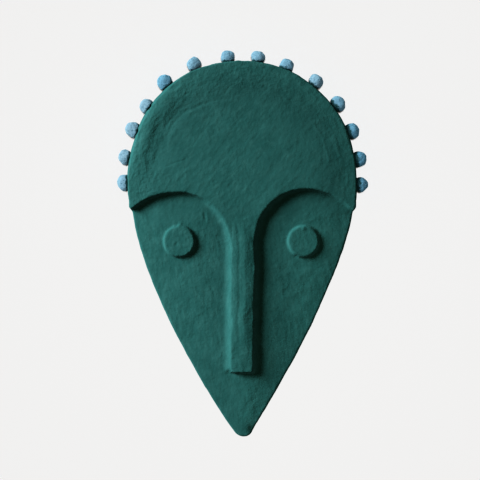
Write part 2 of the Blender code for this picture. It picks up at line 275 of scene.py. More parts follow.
def outward_normals(loop, rounds=0):
    """Unit normals of a closed clockwise loop, evened out over a few of its points on request."""
    along = np.roll(loop, -1, axis=0) - np.roll(loop, 1, axis=0)
    normals = np.stack([-along[:, 1], along[:, 0]], axis=1)
    for _ in range(rounds):
        normals = np.roll(normals, 1, axis=0) + 2 * normals + np.roll(normals, -1, axis=0)
    return normals / np.linalg.norm(normals, axis=1)[:, None]


def nose_top(drop):
    """Where a brow arch of this drop ends and the straight side of the nose begins, along +Y."""
    return -drop - ARCH_FALL * DOME_RADIUS


def brow_arch(side, drop, spread):
    """One brow arch, from its outer end to the side of the nose. side is -1 on the left, 1 on the right."""
    across = Vector((side * DOME_RADIUS, 0))
    up = Vector((0, DOME_RADIUS))
    lift = BROW_LEFT_END_LIFT if side < 0 else 0.0
    crest_reach = ARCH_CREST_INNER_HANDLES[side > 0]
    nose_reach = ARCH_NOSE_HANDLES[side > 0]
    end = ARCH_END * across - Vector((0, BROW_DROP - lift))
    crest = ARCH_CREST * across - Vector((0, drop))
    foot = Vector((side * NOSE_WIDTH / 2, nose_top(drop)))
    end_handle = end - ARCH_END_HANDLE_IN * across + ARCH_END_HANDLE_UP * up
    arch = bezier(end, end_handle, crest + ARCH_CREST_OUTER_HANDLE * across, crest)
    arch += bezier(crest, crest - crest_reach * across, foot + nose_reach * up, foot)
    arch = np.array([tuple(p) for p in arch])
    widening = smooth_step(np.linspace(-1, 1, len(arch)))
    flank = mixed(BROW_FLANK, NOSE_FLANK, widening)
    arch += side * turned(arch) * (spread * flank)[:, None]
    past_end = ARCH_PAST_END * across - Vector((0, BROW_DROP - lift + spread * BROW_FLANK))
    return np.concatenate([[tuple(past_end)], arch])


def relief_line(spread):
    """The edge of the raised T, from past the left side, round the nose's end, to past the right side.

    A spread of 0 is its top edge and a spread of 1 is the foot of its flanks.
    """
    half_nose = NOSE_WIDTH / 2 + spread * NOSE_FLANK
    nose_end = -NOSE_END_DROP - spread * NOSE_END_FLANK
    lines = []
    for side, drop in ((-1, BROW_LEFT_DROP), (1, BROW_RIGHT_DROP)):
        lower = (side * half_nose + NOSE_LEAN, nose_end)
        upper = (side * half_nose, nose_top(drop))
        swell = NOSE_RIGHT_SWELL if side > 0 else ()
        between = [(half_nose + NOSE_LEAN * -y / NOSE_END_DROP + out, y) for y, out in swell]
        lines.append(np.concatenate([brow_arch(side, drop, spread), [upper, *between, lower]]))
    line = even_steps(np.concatenate([lines[0], lines[1][::-1]]), LINE_STEP)
    return line + turned(line) * waves(line, EDGE_WOBBLE, 2, 2)[:, None]


def eye_centres():
    """The left eye's centre and the right one's."""
    return [np.array((EYE_SHIFT + side * EYE_SPACING / 2, -EYE_DROP)) for side in (-1, 1)]


def inside(points, loop):
    """Which points lie inside a closed loop: a ray from them crosses it an odd number of times."""
    start, end = loop, np.roll(loop, -1, axis=0)
    rise = np.where(end[:, 1] == start[:, 1], 1.0, end[:, 1] - start[:, 1])
    answers = []
    for first in range(0, len(points), POINTS_AT_ONCE):
        some = points[first : first + POINTS_AT_ONCE]
        x, y = some[:, :1], some[:, 1:2]
        spans = (start[:, 1] > y) != (end[:, 1] > y)
        crossing = start[:, 0] + (y - start[:, 1]) * (end[:, 0] - start[:, 0]) / rise
        answers.append((spans & (x < crossing)).sum(1) % 2 == 1)
    return np.concatenate(answers)


def closed(loop):
    """The loop with its first point repeated at its end."""
    return np.concatenate([loop, loop[:1]])


def from_crown(points):
    """The bearing and the distance of each point from the crown's centre."""
    reach = points - CROWN_CENTRE
    return np.arctan2(reach[:, 1], reach[:, 0]), np.linalg.norm(reach, axis=1)


def over_forehead(line):
    """The edge of the T closed into a loop, well above the head."""
    above = 2 * DOME_RADIUS
    return np.concatenate([line, [(line[-1, 0], above), (line[0, 0], above)]])


class Line:
    """A line of close-set points that answers quickly how far other points are from it."""

    def __init__(self, points):
        self.points = points
        self.tree = KDTree(len(points))
        for number, (x, y) in enumerate(points.tolist()):
            self.tree.insert((x, y, 0), number)
        self.tree.balance()

    def distance(self, places):
        """The distance of each place from the line's two stretches on either side of its nearest point."""
        nearest = np.array([self.tree.find((x, y, 0))[1] for x, y in places.tolist()])
        distances = []
        for first in (nearest - 1, nearest):
            start = np.clip(first, 0, len(self.points) - 2)
            run = self.points[start + 1] - self.points[start]
            offset = places - self.points[start]
            share = np.clip((offset * run).sum(1) / (run**2).sum(1), 0, 1)
            distances.append(np.linalg.norm(offset - share[:, None] * run, axis=1))
        return np.minimum(*distances)


class Face:
    """Heights of the front and of the ceiling behind it, over any point of the outline."""

    def __init__(self):
        self.outline = head_outline()
        self.edge = Line(closed(self.outline))
        self.top_edge = Line(relief_line(0))
        self.foot = Line(relief_line(1))
        bearing, reach = from_crown(self.outline)
        order = np.argsort(bearing)
        self.bearings, self.reaches = bearing[order], reach[order]

    def crown(self, points):
        """The shallow dome of the whole front, over the height of its edge."""
        bearing, reach = from_crown(points)
        edge = np.interp(bearing, self.bearings, self.reaches, period=2 * math.pi)
        return CROWN * (1 - np.minimum(reach / edge, 1) ** 2)

    def relief_share(self, points):
        """1 on the raised T, 0 on the cheeks, and a hollow curve between them on its flanks."""
        to_top = self.top_edge.distance(points)
        to_foot = self.foot.distance(points)
        down_flank = to_top / (to_top + to_foot)
        down_flank[inside(points, over_forehead(self.top_edge.points))] = 0
        down_flank[~inside(points, over_forehead(self.foot.points))] = 1
        return (1 - down_flank) ** FLANK_HOLLOW

    def eyes(self, points):
        """The eye discs, with sloping sides."""
        height = np.zeros(len(points))
        for centre, relief in zip(eye_centres(), EYE_RELIEFS):
            from_rim = EYE_DIAMETER / 2 - np.linalg.norm(points - centre, axis=1)
            height = np.maximum(height, relief * np.clip(from_rim / EYE_FLANK, 0, 1))
        return height

    def front(self, points):
        """The height of the front over the back rim."""
        relief = self.relief_share(points)
        rounding = mixed(CHEEK_ROUNDING, FOREHEAD_ROUNDING, relief)
        drop = rounded_drop(self.edge.distance(points), rounding)
        return WALL_HEIGHT + self.crown(points) + np.maximum(RELIEF * relief, self.eyes(points)) - drop

    def ceiling(self, points):
        """The height of the hollow's ceiling, which curves down into the wall."""
        in_brow = self.top_edge.distance(points) - NOSE_WIDTH / 2
        in_brow[~inside(points, over_forehead(self.top_edge.points))] = 0
        lift = RELIEF * smooth_step(in_brow / CEILING_LIFT_RUN)
        drop = rounded_drop(self.edge.distance(points) - SHELL, CEILING_CORNER)
        return WALL_HEIGHT + self.crown(points) - SHELL + lift - drop


def grid_points(loop, lines, step):
    """Points of an even triangular grid inside a loop, none of them close to the loop or the lines."""
    low, high = loop.min(0), loop.max(0)
    rows = np.arange(low[1], high[1], step * math.sqrt(3) / 2)
    columns = np.arange(low[0], high[0], step)
    x, y = np.meshgrid(columns, rows)
    x[1::2] += step / 2
    points = np.stack([x.ravel(), y.ravel()], axis=1)
    points = points[inside(points, loop)]
    for line in (closed(loop), *lines):
        points = points[Line(line).distance(points) > CLEAR_OF_LINES * step]
    return points


def fill(loop, lines, points):
    """Fills a clockwise loop with triangles that keep to the lines inside it.

    Returns the places of the vertices, the triangles, and the vertex at each point of the loop.
    """
    coords = np.concatenate([loop, *lines, points])
    kept, first = [], len(loop)
    for line in lines:
        kept += [(i, i + 1) for i in range(first, first + len(line) - 1)]
        first += len(line)
    anticlockwise = list(range(len(loop)))[::-1]
    made, _, triangles, sources, _, from_loop = delaunay_2d_cdt(
        [Vector(p) for p in coords.tolist()], kept, [anticlockwise], 0, SAME_PLACE
    )
    ring = np.zeros(len(loop), int)
    for vertex, origin in enumerate(sources):
        for i in origin:
            if i < len(loop):
                ring[i] = vertex
    triangles = np.array([triangle for triangle, loops in zip(triangles, from_loop) if loops])
    return np.array([tuple(p) for p in made]), triangles, ring


def within(line, face, margin):
    """The line's points that lie inside the outline and clear of it."""
    line = line[inside(line, face.outline)]
    return line[face.edge.distance(line) > margin]


def skin_lines(face):
    """Lines that the front's triangles keep to: the flanks of the T, the rounded edge and the eyes."""
    lines = [within(relief_line(spread), face, CLEAR_OF_EDGE * SKIN_STEP) for spread in FLANK_LINES]
    normals = outward_normals(face.outline, rounds=FIRST_RING_ROUNDS)
    lines.append(closed(face.outline - normals * SKIN_STEP * FIRST_RING))
    for centre in eye_centres():
        for share in EYE_RINGS:
            radius = EYE_DIAMETER / 2 - share * EYE_FLANK
            around = np.linspace(0, 2 * math.pi, round(2 * math.pi * radius / LINE_STEP) + 1)
            lines.append(np.array([tuple(on_circle(radius, bearing, centre)) for bearing in around]))
    return lines


def quads(previous, new):
    """Faces between two rings with as many vertices each."""
    return np.stack([previous, np.roll(previous, -1), np.roll(new, -1), new], axis=1).tolist()


def rim_profile(top, ceiling_edge):
    """How far in and how high each ring below the front's edge lies: down the wall, round and up again."""
    rows = round(WALL_HEIGHT / WALL_STEP)
    rings = [(0, top + (RIM_ROUNDING - top) * row / rows) for row in range(1, rows + 1)]
    rounding = []
    for turn in (30, 60, 90):
        bearing = math.radians(turn)
        rounding.append((RIM_ROUNDING * (1 - math.cos(bearing)), RIM_ROUNDING * (1 - math.sin(bearing))))
    rings += rounding
    rings += [(SHELL - let_in, z) for let_in, z in reversed(rounding)]
    rows = round(WALL_HEIGHT / CEILING_STEP)
    rings += [(SHELL, RIM_ROUNDING + (ceiling_edge - RIM_ROUNDING) * row / rows) for row in range(rows + 1)]
    return rings


def skin_mesh(face):
    """The painted skin as one closed mesh: its vertices, its faces and how many belong to the front.

    The front's vertices come first.
    """
    lines = skin_lines(face)
    places, triangles, ring = fill(face.outline, lines, grid_points(face.outline, lines, SKIN_STEP))
    front = np.column_stack([places, face.front(places)])
    verts, faces, count = [front], triangles.tolist(), len(front)

    normals = outward_normals(face.outline, rounds=NORMAL_ROUNDS)
    inner = face.outline - normals * SHELL
    for let_in, z in rim_profile(front[ring, 2], face.ceiling(inner)):
        place = face.outline - normals * let_in
        verts.append(np.column_stack([place, np.broadcast_to(z, len(place))]))
        new = np.arange(count, count + len(place))
        faces += quads(ring, new)
        ring, count = new, count + len(place)

    places, triangles, loop = fill(inner, [], grid_points(inner, [], CEILING_STEP))
    number = np.full(len(places), -1)
    number[loop] = ring
    free = np.flatnonzero(number < 0)
    number[free] = np.arange(count, count + len(free))
    verts.append(np.column_stack([places[free], face.ceiling(places[free])]))
    faces += number[triangles[:, ::-1]].tolist()
    return np.concatenate(verts), faces, len(front)


def soften(verts, edges, rounds):
    """Rounds creases: moves every vertex halfway to the middle of its neighbours, a few times over."""
    both_ways = np.concatenate([edges, edges[:, ::-1]])
    vertex, neighbour = both_ways.T
    count = np.bincount(vertex, minlength=len(verts))
    for _ in range(rounds):
        total = [np.bincount(vertex, verts[neighbour, axis], len(verts)) for axis in range(3)]
        verts = (verts + np.stack(total, axis=1) / count[:, None]) / 2
    return verts


# Marks on the front: from one point to another, half width, and height, which is negative for a groove
MARKS = (
    ((-0.0378, -0.0370), (-0.0366, -0.0440), 0.0012, -0.0006),
    ((-0.0355, -0.0375), (-0.0345, -0.0450), 0.0012, 0.0003),
    ((-0.0233, -0.0660), (-0.0215, -0.0730), 0.0016, -0.0006),
    ((-0.0250, -0.0600), (-0.0245, -0.0620), 0.0015, -0.0004),
    ((-0.0760, 0.0100), (-0.0560, 0.0170), 0.0010, -0.0004),
    ((-0.0708, -0.0550), (-0.0655, -0.0480), 0.0011, -0.0004),
    ((-0.0665, -0.0680), (-0.0655, -0.0665), 0.0014, -0.0005),
    ((-0.0630, -0.0490), (-0.0620, -0.0480), 0.0022, 0.0008),
    ((0.0605, -0.0520), (0.0612, -0.0515), 0.0020, 0.0007),
    ((0.0520, -0.0800), (0.0540, -0.0795), 0.0014, -0.0006),
    ((-0.0215, -0.1740), (-0.0222, -0.1800), 0.0009, 0.0004),
    ((-0.0195, -0.1735), (-0.0185, -0.1830), 0.0009, 0.0003),
    ((-0.0095, -0.1812), (-0.0085, -0.1816), 0.0010, -0.0006),
    ((-0.0155, -0.1960), (-0.0115, -0.1955), 0.0021, -0.0009),
    ((0.0330, -0.0200), (0.0120, -0.0420), 0.0080, 0.0006),
    ((-0.1075, 0.0150), (-0.1045, 0.0450), 0.0013, 0.0003),
    ((-0.1050, 0.0140), (-0.1020, 0.0440), 0.0012, -0.0003),
    ((0.1035, 0.0480), (0.1100, 0.0220), 0.0012, -0.0004),
    ((0.1065, 0.0480), (0.1125, 0.0220), 0.0012, 0.0002),
    ((-0.0780, 0.0380), (-0.0690, 0.0530), 0.0016, -0.0003),
    ((-0.0690, 0.0530), (-0.0560, 0.0650), 0.0015, -0.0004),
    ((-0.0560, 0.0650), (-0.0360, 0.0735), 0.0013, -0.0004),
    ((-0.0360, 0.0735), (-0.0130, 0.0775), 0.0012, -0.0003),
    ((-0.0540, 0.0620), (-0.0420, 0.0680), 0.0014, 0.0002),
    ((-0.0740, 0.0330), (-0.0670, 0.0470), 0.0018, 0.0003),
    ((0.0680, 0.0570), (0.0780, 0.0400), 0.0012, 0.00025),
    ((0.0800, 0.0370), (0.0860, 0.0150), 0.0013, 0.00025),
    ((0.0905, 0.0400), (0.0960, 0.0200), 0.0013, 0.0002),
    ((-0.0900, -0.0060), (-0.0830, 0.0060), 0.0014, 0.0004),
    ((-0.0650, -0.0030), (-0.0540, 0.0080), 0.0013, 0.0003),
    ((-0.0480, -0.0180), (-0.0400, -0.0060), 0.0013, 0.0003),
    ((-0.0980, -0.0220), (-0.0880, -0.0160), 0.0014, 0.0003),
)
MARK_WOBBLE = (0.008, 0.0011)

# The dome's left rim: height over the plain front by how far in from the outline, between two bearings
LEFT_RIM = (
    (0.0, -0.0029), (0.0065, 0.0002), (0.0085, 0.0008), (0.0115, 0.0010), (0.0145, 0.0008),
    (0.020, -0.0006), (0.0255, -0.0014), (0.031, -0.0009), (0.0375, -0.0001), (0.050, 0.0),
)
LEFT_RIM_BEARING = 152
LEFT_RIM_HALF_TURN = 36
LEFT_RIM_ENDS = 1.6
LEFT_RIM_STEADY = 0.01
LEFT_RIM_WOBBLE = (0.016, 0.0032)

# The top of the nose: height by how far to the right of its middle, and where it starts and ends
BRIDGE = (
    (-0.0135, 0.0), (-0.0104, -0.0007), (-0.0085, -0.0001), (-0.0060, 0.0002), (-0.0035, -0.0001),
    (-0.0015, 0.0004), (0.0022, 0.0011), (0.0054, 0.0007), (0.0084, 0.0002), (0.0108, -0.0003),
    (0.0135, 0.0),
)
BRIDGE_TOP_DROP = 0.040
BRIDGE_END_DROP = 0.176
BRIDGE_RUN = 0.025
NOSE_TOP_RISE = 0.0006
NOSE_END_RISE = -0.0006
BRIDGE_WOBBLE = (0.022, 0.0014)

# The dent by the tip of the chin
CHIN_DENT = (0.0095, -0.2535)
CHIN_DENT_WIDTH = 0.0045
CHIN_DENT_DEPTH = 0.0016

# Torn strips of paper under the paint
STRIPS = 46
STRIP_HALF_WIDTH = (0.006, 0.012)
STRIP_HALF_LENGTH = (0.014, 0.030)
STRIP_THICKNESS = 0.00011
STRIP_EDGE = 0.0009
STRIP_TURN = 0.6
TORN = (0.006, 0.0012)

# Grain: the waves' length and their height
LUMPS = (0.026, 0.00034)
DIMPLES = (0.0090, 0.00017)
PULP = (0.0042, 0.00020)
WRINKLES = (0.014, 0.00022)
WRINKLE_SHARPNESS = 7
STROKES = (0.0046, 0.00017)
STROKE_STRETCH = 3.2
FOREHEAD_STROKES = math.radians(52)
CHEEK_STROKES = math.radians(98)
ROUND_RIM_FROM = 0.068
ROUND_RIM_RUN = 0.030
FOREHEAD_RUN = 0.04

# The pulp is rougher along the dome's upper and left rim and on the cheeks than on the forehead's middle
ROUGH_RIM = 0.030
ROUGH_RIM_RUN = 0.025
ROUGH_TOP_Y = 0.045
ROUGH_TOP_RUN = 0.06
ROUGH_LEFT_X = -0.088
ROUGH_LEFT_RUN = 0.02
LOW_RIM_SHARE = 0.3
PATCHES = (0.034, 0.35)
CHEEK_PATCHES = 0.4
ROUGHNESS_RANGE = (0.60, 1.65)
CHEEK_ROUGHNESS = 0.95
RIGHT_ROUGHNESS = 0.66
RIGHT_FROM_X = -0.01
RIGHT_RUN = 0.07
CHIN_ROUGHNESS = 0.72
CHIN_FROM_Y = -0.15
CHIN_RUN = 0.06

# How bright the paint of the lower face and of the chin is, by how far to the right of the middle it lies:
# painted shade on the cheek beside the nose, and painted light on the right cheek and the chin's right side
CHEEK_SHADING = (
    (-0.110, 1.07), (-0.090, 1.06), (-0.070, 1.0), (-0.045, 0.97), (-0.030, 0.92), (-0.0210, 0.92),
    (-0.0170, 0.96), (-0.0105, 1.0), (0.018, 1.0), (0.040, 1.01), (0.056, 1.12), (0.072, 1.16),
    (0.084, 1.10), (0.100, 1.06),
)
CHIN_SHADING = ((-0.020, 0.93), (-0.006, 0.94), (0.004, 1.08), (0.014, 1.09), (0.026, 1.02), (0.040, 1.00))
CHIN_PAINT_DROP = 0.200
CHIN_PAINT_RUN = 0.016
LOWER_PAINT_WOBBLE = (0.009, 0.0012)

# How bright the paint of the forehead is, by how far from the dome's centre it lies, up to its left rim:
# painted shade in a band inside the rim
FOREHEAD_SHADING = (
    (0.045, 1.02), (0.070, 0.99), (0.082, 0.94), (0.092, 0.92), (0.100, 0.97), (0.106, 1.03),
)
FOREHEAD_PAINT_WOBBLE = (0.02, 0.004)
LEFT_RIM_X = -0.078
LEFT_RIM_RUN = 0.02


def distance_to_stretch(points, start, end):
    """The distance of each point from a straight stretch."""
    start, run = np.array(start), np.subtract(end, start)
    share = np.clip(((points - start) @ run) / (run @ run), 0, 1)
    return np.linalg.norm(points - start - share[:, None] * run, axis=1)


def turned_to(points, direction):
    """How far along a direction and how far across it each point lies."""
    along = points @ (math.cos(direction), math.sin(direction))
    across = points @ (-math.sin(direction), math.cos(direction))
    return np.stack([along, across], axis=1)


def round_the_dome(points):
    """How far round the dome and how far out from its centre each point lies."""
    around = DOME_RADIUS * np.arctan2(points[:, 0], points[:, 1])
    return np.stack([around, np.linalg.norm(points, axis=1)], axis=1)


def stroke_waves(places, seed):
    """Waves drawn out along the first of two directions, as a brush and smoothed paper leave them."""
    return field(places / (STROKE_STRETCH, 1), STROKES[0], seed, 2)


def paper_strips(points):
    """How many strips of paper lie over each point, with soft edges."""
    rng = np.random.default_rng(4)
    torn = waves(points, TORN, 5, 2)
    layers = np.zeros(len(points))
    for _ in range(STRIPS):
        centre = np.array((rng.uniform(-DOME_RADIUS, DOME_RADIUS), rng.uniform(CHIN_Y, DOME_RADIUS)))
        turn = rng.normal(FOREHEAD_STROKES if centre[1] > -BROW_DROP else CHEEK_STROKES, STRIP_TURN)
        half_width, half_length = rng.uniform(*STRIP_HALF_WIDTH), rng.uniform(*STRIP_HALF_LENGTH)
        along, across = np.abs(turned_to(points - centre, turn)).T
        past_edge = np.maximum(along - half_length, across - half_width) + torn
        layers += smooth_step(0.5 - past_edge / STRIP_EDGE)
    return layers


def forehead_share(points):
    """1 on the forehead, 0 on the lower face."""
    return smooth_step((points[:, 1] + BROW_DROP) / FOREHEAD_RUN + 0.5)


def rim_share(points):
    """1 along the dome's rim, where the strokes follow it, and 0 elsewhere."""
    from_centre = np.linalg.norm(points[:, :2], axis=1)
    return forehead_share(points) * smooth_step((from_centre - ROUND_RIM_FROM) / ROUND_RIM_RUN)


def painted_shading(points):
    """How bright the paint is at each point: painted light and shade for how the cheeks, the chin and the
    forehead turn to the light.
    """
    right = points[:, 0] + waves(points, LOWER_PAINT_WOBBLE, 21)
    on_chin = smooth_step((-CHIN_PAINT_DROP - points[:, 1]) / CHIN_PAINT_RUN + 0.5)
    lower = mixed(profile(right, CHEEK_SHADING), profile(right, CHIN_SHADING), on_chin)
    stray = waves(points, FOREHEAD_PAINT_WOBBLE, 22, 2)
    upper = profile(np.linalg.norm(points, axis=1) + stray, FOREHEAD_SHADING)
    upper = mixed(1, upper, smooth_step((points[:, 0] - LEFT_RIM_X) / LEFT_RIM_RUN + 0.5))
    return mixed(lower, upper, forehead_share(points))


def coarseness(face, points):
    """How strong the pulp's grain is at each point of the front."""
    near_rim = smooth_step((ROUGH_RIM - face.edge.distance(points)) / ROUGH_RIM_RUN + 0.5)
    at_top = smooth_step((points[:, 1] - ROUGH_TOP_Y) / ROUGH_TOP_RUN + 0.5)
    at_left = smooth_step((ROUGH_LEFT_X - points[:, 0]) / ROUGH_LEFT_RUN + 0.5)
    near_rim *= mixed(LOW_RIM_SHARE, 1, np.maximum(at_top, at_left))
    patches = np.clip(0.5 + field(points, PATCHES[0], 15, 2), 0, 1)
    forehead = mixed(*ROUGHNESS_RANGE, np.clip(near_rim + PATCHES[1] * patches, 0, 1))
    cheeks = CHEEK_ROUGHNESS * (1 + CHEEK_PATCHES * (patches - 0.5))
    rough = mixed(cheeks, forehead, forehead_share(points))
    to_right = smooth_step((points[:, 0] - RIGHT_FROM_X) / RIGHT_RUN)
    to_chin = smooth_step((CHIN_FROM_Y - points[:, 1]) / CHIN_RUN) * (1 - to_right)
    return rough * mixed(1, RIGHT_ROUGHNESS, to_right) * mixed(1, CHIN_ROUGHNESS, to_chin)


def left_rim(face, points):
    """The dome's left rim and the valley inside it."""
    let_in = face.edge.distance(points)
    from_middle = turn_from(LEFT_RIM_BEARING, points) / LEFT_RIM_HALF_TURN
    stray = waves(points, LEFT_RIM_WOBBLE, 16, 2)
    strayed = let_in + stray * smooth_step(let_in / LEFT_RIM_STEADY)
    return smooth_step(LEFT_RIM_ENDS * (1 - from_middle)) * profile(strayed, LEFT_RIM)


def bridge(face, points):
    """The ridge and the grooves along the nose, whose top leans down to its end."""
    down = -points[:, 1]
    from_top = smooth_step((down - BRIDGE_TOP_DROP) / BRIDGE_RUN)
    on_bridge = from_top * smooth_step((BRIDGE_END_DROP - down) / BRIDGE_RUN)
    middle = NOSE_LEAN * np.clip((down - BROW_DROP) / (NOSE_END_DROP - BROW_DROP), 0, 1)
    stray = waves(points, BRIDGE_WOBBLE, 19, 2)
    height = on_bridge * profile(points[:, 0] - middle + stray, BRIDGE)
    along_nose = smooth_step((down - BRIDGE_TOP_DROP) / (NOSE_END_DROP - BRIDGE_TOP_DROP))
    rise = mixed(NOSE_TOP_RISE, NOSE_END_RISE, along_nose)
    return height + from_top * face.relief_share(points) * rise


def marks(points):
    """Single ridges and grooves, and the dent in the chin."""
    height = -CHIN_DENT_DEPTH * bell(np.linalg.norm(points - CHIN_DENT, axis=1), CHIN_DENT_WIDTH)
    wander = [waves(points, MARK_WOBBLE, seed) for seed in (17, 18)]
    strayed = points + np.stack(wander, axis=1)
    for start, end, half_width, rise in MARKS:
        height += rise * bell(distance_to_stretch(strayed, start, end), half_width)
    return height


def pulp_and_strokes(points):
    """The fine relief of pulp, wrinkled paper and brush strokes, which run their own way on each part."""
    on_forehead = forehead_share(points)
    near_rim = rim_share(points)
    strokes = (on_forehead - near_rim) * stroke_waves(turned_to(points, FOREHEAD_STROKES), 6)
    strokes += (1 - on_forehead) * stroke_waves(turned_to(points, CHEEK_STROKES), 7)
    strokes += near_rim * stroke_waves(round_the_dome(points), 11)
    pulp = np.abs(field(points, PULP[0], 12, 2))
    wrinkles = (1 - np.clip(np.abs(field(points, WRINKLES[0], 13, 2)), 0, 1)) ** WRINKLE_SHARPNESS
    return STROKES[1] * strokes - PULP[1] * pulp + WRINKLES[1] * wrinkles


def front_relief(face, points):
    """The unevenness that belongs to places on the face."""
    height = left_rim(face, points) + bridge(face, points) + marks(points)
    height += STRIP_THICKNESS * paper_strips(points)
    return height + coarseness(face, points) * pulp_and_strokes(points)


def grain(places):
    """The unevenness that paper pulp has everywhere."""
    return waves(places, LUMPS, 8, 2) + waves(places, DIMPLES, 9, 2)


def read(collection, name, width, kind=float):
    """One property of all of a mesh's elements, as an array of rows."""
    values = np.empty(len(collection) * width, kind)
    collection.foreach_get(name, values)
    return values.reshape(-1, width)


def add_attribute(mesh, name, values):
    """A number or a place at every vertex, which a material can read by its name."""
    if values.ndim == 1:
        mesh.attributes.new(name, "FLOAT", "POINT").data.foreach_set("value", values.astype(np.float32))
    else:
        mesh.attributes.new(name, "FLOAT_VECTOR", "POINT").data.foreach_set("vector", values.ravel())


def new_object(name, mesh, material):
    """A smooth shaded object with one material, in the scene."""
    mesh.materials.append(material)
    mesh.shade_smooth()
    made = bpy.data.objects.new(name, mesh)
    bpy.context.scene.collection.objects.link(made)
    return made


def shift_onto(node, face):
    """From the dome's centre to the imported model, by the outline's top and the middle of its sides."""
    low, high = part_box(node)
    left, right = face.outline[:, 0].min(), face.outline[:, 0].max()
    return Vector(((low.x + high.x - left - right) / 2, high.y - face.outline[:, 1].max(), 0))


def painted_mask(material):
    """The skin, with its creases softened and all its unevenness, in place over the solid."""
    face = Face()
    verts, faces, front_count = skin_mesh(face)
    mesh = bpy.data.meshes.new("painted_mask")
    mesh.from_pydata(verts.tolist(), [], faces)
    verts = soften(verts, read(mesh.edges, "vertices", 2, int), SOFTENING_ROUNDS)
    mesh.vertices.foreach_set("co", verts.ravel())
    mesh.update()
    rise = grain(verts)
    front = verts[:front_count, :2]
    rise[:front_count] += front_relief(face, front)
    elsewhere = np.ones(len(verts) - front_count)
    add_attribute(mesh, "coarseness", np.concatenate([coarseness(face, front), elsewhere]))
    add_attribute(mesh, "on_forehead", forehead_share(verts))
    # Painted light and shade, kept as a brightness for the paint
    add_attribute(mesh, "painted_shading", painted_shading(verts[:, :2]))
    add_attribute(mesh, "near_rim", rim_share(verts))
    add_attribute(mesh, "round_the_dome", np.column_stack([round_the_dome(verts[:, :2]), verts[:, 2]]))
    verts = verts + read(mesh.vertices, "normal", 3) * rise[:, None]
    verts[:, 2] = np.maximum(verts[:, 2], FLOOR_CLEARANCE)
    mesh.vertices.foreach_set("co", verts.ravel())
    mesh.update()
    made = new_object("painted_mask", mesh, material)
    made.location = shift_onto("mask_body", face)
    made.visible_diffuse = False
    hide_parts("mask_body")
    return made


# Pulp balls: radius, distance from the dome's centre, paleness, and reach of the dark green from the glue,
# which on the first four balls is painted shadow from the mask's rim
BALLS = (
    (0.0074, 0.1181, 0.2, 0.0038),
    (0.0080, 0.1174, 0.1, 0.0034),
    (0.0082, 0.1180, 0.2, 0.0034),
    (0.0080, 0.1199, 0.5, 0.0030),
    (0.0072, 0.1203, 0.8, 0.0016),
    (0.0072, 0.1196, 0.6, 0.0018),
    (0.0069, 0.1207, 0.7, 0.0016),
    (0.0069, 0.1208, 0.6, 0.0016),
    (0.0070, 0.1228, 0.7, 0.0010),
    (0.0075, 0.1228, 0.3, 0.0012),
    (0.0078, 0.1188, 0.9, 0.0008),
    (0.0080, 0.1192, 0.9, 0.0008),
    (0.0075, 0.1192, 0.9, 0.0012),
    (0.0080, 0.1180, 0.8, 0.0014),
)
BALL_SUBDIVISIONS = 5
BALL_STRETCH = 0.04
BALL_LUMPS = (0.0075, 0.0011)
BALL_DIMPLES = (0.0036, 0.00045)
BALL_GRAIN = (0.0014, 0.00005)
PIT_SPACING = 0.0021
PIT_RADIUS = 0.45
PIT_SHARE = 0.28
PIT_SHUFFLE = 7.3
PIT_DEPTH = 0.00038
PIT_SEED_SHIFT = Vector((31.7, 11.3, 7.9))


def ball_seat(node):
    """The centre of a CAD ball, its outward direction and how far in its flat lies."""
    verts = np.array([tuple(v.co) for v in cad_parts[node].data.vertices])
    sphere = np.column_stack([2 * verts, np.ones(len(verts))])
    centre = np.linalg.lstsq(sphere, (verts**2).sum(1), rcond=None)[0][:3]
    reach = verts - centre
    outward = Vector(reach.mean(0)).normalized()
    return Vector(centre), outward, -(reach @ outward).min()


def pits(places, seed):
    """0 on the pulp's surface and up to 1 in the middle of the small holes in it."""
    depth = np.zeros(len(places))
    shift = PIT_SEED_SHIFT * seed
    for number, place in enumerate((places / PIT_SPACING).tolist()):
        distances, points = noise.voronoi(Vector(place) + shift)
        if noise.cell(points[0] * PIT_SHUFFLE) < PIT_SHARE:
            depth[number] = 1 - min(1, distances[0] / PIT_RADIUS)
    return smooth_step(depth)


def pulp_ball(number, dome_centre, material):
    """One hand-rolled ball of pulp in place of its CAD ball, flat where it is glued on."""
    node = f"ball_{number:02d}"
    radius, from_dome, paleness, green_reach = BALLS[number - 1]
    centre, outward, flat = ball_seat(node)
    shift = from_dome - (centre - dome_centre).to_2d().length
    rng = np.random.default_rng(100 + number)
    bm = bmesh.new()
    bmesh.ops.create_icosphere(bm, subdivisions=BALL_SUBDIVISIONS, radius=radius)
    mesh = bpy.data.meshes.new(f"pulp_{node}")
    bm.to_mesh(mesh)
    bm.free()
    places = read(mesh.vertices, "co", 3)
    facing = places / radius
    seed = 20 + number
    holes = pits(places, seed)
    rise = waves(places, BALL_LUMPS, seed) + waves(places, BALL_DIMPLES, seed, 2)
    rise = rise + waves(places, BALL_GRAIN, seed) - PIT_DEPTH * holes
    stretch = 1 + rng.uniform(-BALL_STRETCH, BALL_STRETCH, 3)
    places = (places + facing * rise[:, None]) * stretch
    places[:, 2] = np.maximum(places[:, 2], -flat - shift)
    mesh.vertices.foreach_set("co", places.ravel())
    add_attribute(mesh, "pit", holes)
    add_attribute(mesh, "paleness", np.full(len(places), paleness))
    # How far past the dark green by the glue, which on the first four balls is painted shadow
    add_attribute(mesh, "past_green", places[:, 2] + flat + shift - green_reach)
    add_attribute(mesh, "grain_place", places + rng.uniform(0, 1, 3))
    mesh.update()
    made = new_object(f"pulp_{node}", mesh, material)
    made.location = centre + outward * shift
    made.rotation_mode = "QUATERNION"
    made.rotation_quaternion = outward.to_track_quat("Z", "Y")
    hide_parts(node)
    return made


